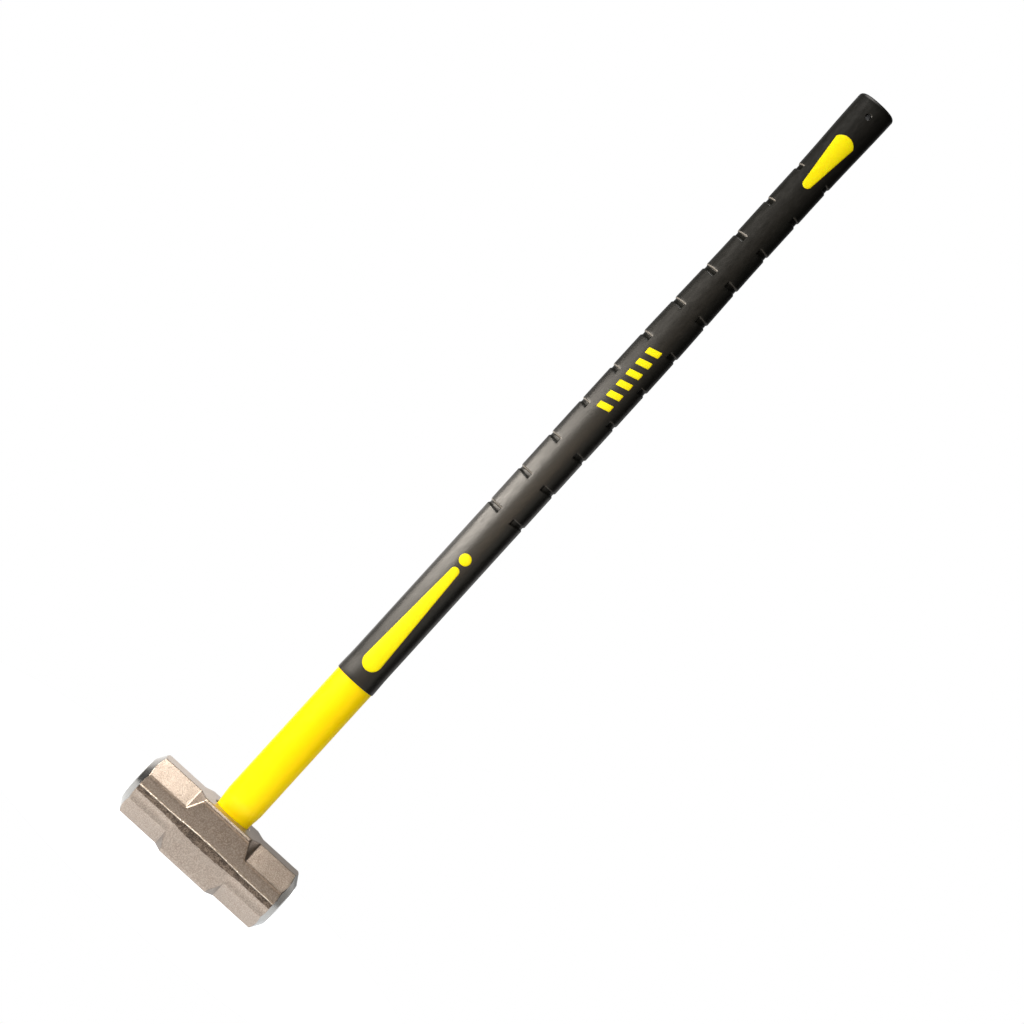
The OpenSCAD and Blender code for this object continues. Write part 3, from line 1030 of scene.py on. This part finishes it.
# %% Relief of the head
lathe_feed = 0.8914 * MM
waves_per_unit = 20 / (2 * math.pi)
middle = add(paint, "ShaderNodeMapping", {"Vector": place, "Location": (0, 0, -head_mid * MM)})
rings = add(paint, "ShaderNodeTexWave", {
    "Vector": middle.outputs[0], "Scale": 1 / (lathe_feed * waves_per_unit),
    "Distortion": 0.4, "Detail": 1.0}, wave_type="RINGS", rings_direction="X").outputs["Fac"]
coarse = relief(paint, mottle, 0.12, strength=0.3)
fine = relief(paint, grain(paint, place, 2.0, 3, 0.65), 0.15, coarse, 0.45)
sandy = relief(paint, speckle, 0.12, fine, 0.6)
turned_lines = relief(paint, rings, 0.02, strength=0.35)
skin = add(paint, "ShaderNodeMix", {0: bare_here, 4: sandy, 5: turned_lines}, data_type="VECTOR")
join(paint, skin.outputs[1], shader.inputs["Normal"])
dress(forged_head, paint)
print("head finish:", len(paint.node_tree.nodes), "nodes")

# %% [markdown]
# ### Yellow plastic
# The jacket and the inlays are the same moulded plastic. Its colour hardly varies, but a faint
# cloudiness and a very fine moulded grain keep it from looking like a flat fill. A little light
# passes through it, and a faint painted glow lifts its shaded side.

# %% Yellow finishes


def yellow_finish(name, pale, deep, roughness):
    # Painted light: a faint yellow glow that brightens the shaded side of the plastic.
    finish, shader = new_finish(name, {
        "Subsurface Weight": 0.4, "Subsurface Scale": 7 * MM, "Subsurface Radius": (1, 0.7, 0.05),
        "Specular IOR Level": 0.22,
        "Emission Color": plain(255, 230, 0), "Emission Strength": 0.2})
    place = object_place(finish)
    cloud = grain(finish, place, 30, 3, 0.5, (1, 1, 0.4))
    scuff = grain(finish, place, 2.2, 4, 0.65, (1, 1, 0.25))
    tone = between(finish, levels(finish, cloud, 0.35, 0.65), pale, deep)
    grime = levels(finish, scuff, 0.62, 0.8, 0, 0.12)
    join(finish, between(finish, grime, tone, plain(224, 190, 10)), shader.inputs["Base Color"])
    sheen = levels(finish, scuff, 0.3, 0.7, roughness - 0.05, roughness + 0.08)
    join(finish, sheen, shader.inputs["Roughness"])
    waves = relief(finish, grain(finish, place, 9, 2, 0.4), 0.12, strength=0.3)
    skin = relief(finish, grain(finish, place, 0.5, 2, 0.5), 0.012, waves, 0.35)
    join(finish, skin, shader.inputs["Normal"])
    return finish


dress(jacket, yellow_finish("yellow_jacket_plastic", plain(253, 221, 0), plain(253, 216, 0), 0.36))
inlay_yellow = yellow_finish("yellow_inlay_plastic", plain(250, 234, 20), plain(247, 230, 12), 0.40)
for piece, _ in inlays:
    dress(piece, inlay_yellow)
print("yellow pieces:", 1 + len(inlays))

# %% [markdown]
# ### Black rubber
# The grip is a soft black rubber with a broad, dusty sheen. A warm grey bloom in patches, fine
# handling marks along the grip and an even finer moulded texture break up the reflection. The
# sheen goes where the surface is dull, and a highlight is painted on the chamfers in a paler grey.

# %% Rubber finish
rubber, shader = new_finish("black_rubber", {"Specular IOR Level": 0.85})
place = object_place(rubber)
bloom = grain(rubber, place, 34, 4, 0.55, (1, 1, 0.35))
handling = grain(rubber, place, 3.0, 4, 0.65, (1, 1, 0.3))
pores = grain(rubber, place, 0.7, 2, 0.6)
tone = between(rubber, levels(rubber, bloom, 0.36, 0.68), plain(10, 11, 8), plain(16, 16, 13))
tone = between(rubber, levels(rubber, handling, 0.55, 0.8, 0, 0.35), tone, plain(28, 27, 24))
# Painted highlight: a paler grey on the notch chamfers.
tone = between(rubber, stored(rubber, "painted_chamfer_highlight"), tone, plain(135, 131, 125))
join(rubber, tone, shader.inputs["Base Color"])
shine = levels(rubber, stored(rubber, "dull"), 0, 1, 0.85, 0.1)
join(rubber, shine, shader.inputs["Specular IOR Level"])
join(rubber, levels(rubber, handling, 0.3, 0.72, 0.36, 0.46), shader.inputs["Roughness"])
soft = relief(rubber, bloom, 0.6, strength=0.35)
marks = relief(rubber, handling, 0.08, soft, 0.45)
join(rubber, relief(rubber, pores, 0.02, marks, 0.5), shader.inputs["Normal"])
dress(grip, rubber)
print("rubber finish:", len(rubber.node_tree.nodes), "nodes")

# %% [markdown]
# ### Fibreglass and potting resin
# The rod and the resin keep their CAD shapes: only the rod's cut end and the resin's rim show.
# The rod is straw coloured with fine dots of glass at its end and streaks along its sides. The
# resin is nearly black, with a slow wavy skin where it set.

# %% Rod and resin finishes
glass_rod, shader = new_finish("pultruded_fibreglass", {"Specular IOR Level": 0.5})
place = object_place(glass_rod)
strands = grain(glass_rod, place, 0.55, 3, 0.6, (1, 1, 0.04))
cloudy = grain(glass_rod, place, 6, 3, 0.5)
tone = levels(glass_rod, strands, 0.35, 0.65)
tone = between(glass_rod, tone, plain(176, 158, 104), plain(214, 200, 156))
tone = between(glass_rod, levels(glass_rod, cloudy, 0.4, 0.7, 0, 0.4), tone, plain(150, 128, 78))
join(glass_rod, tone, shader.inputs["Base Color"])
join(glass_rod, levels(glass_rod, strands, 0.3, 0.7, 0.4, 0.62), shader.inputs["Roughness"])
join(glass_rod, relief(glass_rod, strands, 0.05, strength=0.5), shader.inputs["Normal"])

potting, shader = new_finish("potting_resin", {"Specular IOR Level": 0.5})
place = object_place(potting)
set_skin = grain(potting, place, 4, 3, 0.5)
dust = grain(potting, place, 0.8, 3, 0.6)
tone = levels(potting, dust, 0.5, 0.75, 0, 0.6)
tone = between(potting, tone, plain(38, 33, 29), plain(84, 76, 68))
join(potting, tone, shader.inputs["Base Color"])
join(potting, levels(potting, dust, 0.35, 0.7, 0.3, 0.6), shader.inputs["Roughness"])
lumpy = relief(potting, set_skin, 0.5, strength=0.6)
join(potting, relief(potting, dust, 0.05, lumpy, 0.4), shader.inputs["Normal"])

for node_name, finish in (("core_rod", glass_rod), ("eye_resin", potting)):
    dress(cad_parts[node_name], finish)
print("finishes:", [m.name for m in bpy.data.materials if m.users])

# %% [markdown]
# ## Fix the pieces to the hammer
# Each new piece rides on the hammer's one rigid body and stands in for its CAD node, which is
# hidden.

# %% Ride and replace
standing_for = [(forged_head, "head", "forged_head"), (jacket, "jacket", "yellow_jacket"),
                (grip, "grip", "black_grip")]
standing_for += [(piece, node_name, "yellow_inlay") for piece, node_name in inlays]
for piece, node_name, slot_name in standing_for:
    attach(piece, "root")
    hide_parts(node_name)
print("pieces:", len(standing_for))

# %% [markdown]
# ## Floor and light
# The hammer stands on a plain pale disc in a white surround, as in a light tent. Two tall strips
# run along the handle, one to the left and one in front. A large panel above lights the top of
# each facet, and smaller ones at the sides and behind open up the shadows on the head. Most
# panels are big compared with the hammer, so the highlights on steel and rubber are soft.

# %% Floor
floor_radius = 0.28
floor_mesh = bmesh.new()
bmesh.ops.create_circle(floor_mesh, cap_ends=True, segments=96, radius=floor_radius)
floor = as_piece("floor", floor_mesh)
pale = new_finish("pale_floor", {
    "Base Color": plain(150, 150, 150), "Roughness": 0.9,
    "Emission Color": (0.94, 0.97, 1, 1), "Emission Strength": 1.2})[0]
dress(floor, pale)
floor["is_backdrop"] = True
print("floor disc:", 2 * floor_radius, "m wide")

# %% Light


def soft_panel(name, place, aim, width, height, power, colour):
    """A rectangular lamp turned towards a point; metres and watts."""
    panel = bpy.data.lights.new(name, "AREA")
    panel.shape = "RECTANGLE"
    panel.size, panel.size_y = width, height
    panel.energy = power
    panel.color = colour
    lamp = bpy.data.objects.new(name, panel)
    bpy.context.scene.collection.objects.link(lamp)
    lamp.location = place
    lamp.rotation_mode = "QUATERNION"
    lamp.rotation_quaternion = (Vector(aim) - Vector(place)).to_track_quat("-Z", "Y")
    lamp.visible_camera = False


def around_handle(degrees, distance, height):
    """A place beside the handle; the angle goes from the front towards the left."""
    turn = math.radians(degrees)
    return (-distance * math.sin(turn), -distance * math.cos(turn), height)


mid_handle, head_centre, boss_top = (0, 0, 0.41), (0, 0, 0.03), (0, 0, 0.05)
low_handle, beside_head = (0, 0, 0.15), (-0.36, 0, 0.2)
for name, place, aim, width, height, power, colour in (
        ("left_strip", around_handle(55, 0.75, 0.41), mid_handle, 1.05, 0.16, 10.5, (1, 0.92, 0.82)),
        ("front_strip", around_handle(-8, 1.0, 0.41), mid_handle, 0.7, 0.2, 1.3, (1, 0.80, 0.60)),
        ("left_side", around_handle(113, 0.8, 0.41), mid_handle, 0.35, 0.16, 0.4, (1, 0.94, 0.88)),
        ("right_side", (0.78, 0.54, 0.08), head_centre, 0.6, 0.4, 0.38, (1, 0.97, 0.93)),
        ("right_panel", around_handle(-45, 1.5, 0.2), low_handle, 0.6, 0.6, 0.9, (1, 0.95, 0.85)),
        ("top_panel", (-0.62, -0.26, 1.9), head_centre, 0.9, 0.9, 23, (1, 0.96, 0.91)),
        ("back_left", (-0.36, 0.5, 0.2), beside_head, 0.7, 0.5, 1.1, (1, 0.96, 0.92)),
        ("back_right", (0.72, 0.6, 0.42), boss_top, 0.4, 0.4, 0.4, (1, 0.96, 0.92))):
    soft_panel(name, place, aim, width, height, power, colour)
print("lamps:", len(bpy.data.lights))

# %% [markdown]
# ### The surround
# The camera sees pure white behind the hammer. Reflections see something else: a surround that
# is nearly dark, except for a soft brighter region behind the hammer. That keeps the sides of
# the black grip from looking grey.

# %% Surround
white = (1, 1, 1, 1)
bright_way = (-0.1, 0.98, 0.15)
surround = bpy.data.worlds.new("white_surround")
bpy.context.scene.world = surround
surround.use_nodes = True
backdrop = surround.node_tree.nodes["Background"]
backdrop.inputs["Color"].default_value = white
sky_way = add(surround, "ShaderNodeTexCoord").outputs["Generated"]
toward = add(surround, "ShaderNodeVectorMath", {0: sky_way, 1: bright_way}, operation="DOT_PRODUCT")
falling = levels(surround, toward.outputs["Value"], 0.35, 1.0, 0.01, 0.42, smooth=True)
soft_world = add(surround, "ShaderNodeBackground", {"Color": white, "Strength": falling})
seen = add(surround, "ShaderNodeLightPath").outputs["Is Camera Ray"]
chooser = add(surround, "ShaderNodeMixShader",
              {0: seen, 1: soft_world.outputs[0], 2: backdrop.outputs[0]})
world_output = surround.node_tree.nodes["World Output"]
join(surround, chooser.outputs[0], world_output.inputs["Surface"])
bpy.context.scene.view_settings.view_transform = "Standard"
print("surround:", len(surround.node_tree.nodes), "nodes")

# %% [markdown]
# ## The sizes side by side
# The looks must not change the hammer's size, so both boxes are printed side by side.

# %% Print both boxes
made_box = [[float(n) for n in corner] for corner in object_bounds()]
for label, corners in (("cad", cad_box), ("visual", made_box)):
    print(label, [[round(n / MM, 2) for n in corner] for corner in corners])
